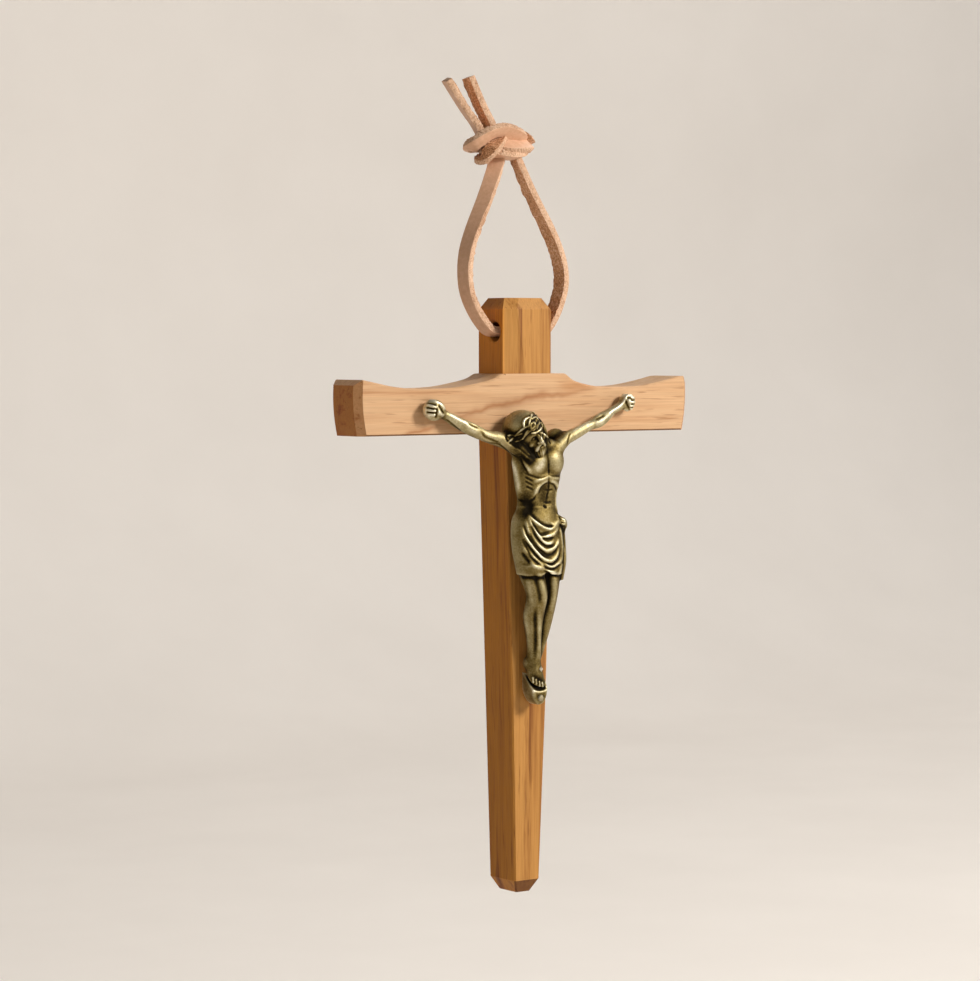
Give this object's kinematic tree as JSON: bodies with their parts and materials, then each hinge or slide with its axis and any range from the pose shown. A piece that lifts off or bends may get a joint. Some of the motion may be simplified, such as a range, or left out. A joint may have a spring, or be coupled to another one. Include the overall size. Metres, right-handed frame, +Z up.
{
  "type": "wall crucifix",
  "caption": "Wall crucifix: halved wooden cross with a wavy-topped crossbeam, an antique-brass corpus pinned to its front and a knotted leather thong through the head for hanging on a nail.",
  "frame": {"origin": "under the knot of the thong, between its strands, where a wall nail carries it", "axes": "+Z up along the upright, +Y to the wall behind, X along the crossbeam; the corpus faces -Y"},
  "size_m": [0.1106, 0.0257, 0.2196],
  "materials": {
    "upright_wood": "oiled honey-brown wood, planed by hand",
    "crossbeam_wood": "oiled pale peach-tan wood with darker streaks",
    "antique_brass": "antiqued brass with dark recesses and rubbed high spots",
    "pin_steel": "plain",
    "leather": "smooth grain side, rough flesh side and cut edges"
  },
  "bodies": {
    "thong": {"thong_loop": "leather", "thong_knot": "leather", "thong_tails": "leather"},
    "cross": {"upright": "upright_wood", "crossbeam": "crossbeam_wood", "corpus": "antique_brass", "hand_pins": "pin_steel", "foot_pin": "antique_brass", "instep_nail": "antique_brass"}
  },
  "joints": [
    {"name": "thong_swing", "type": "hinge", "parent": "thong", "child": "cross", "pos_m": [0, -0.0049, -0.0454], "axis": [1, 0, 0], "range_deg": [-120, 120]}
  ]
}
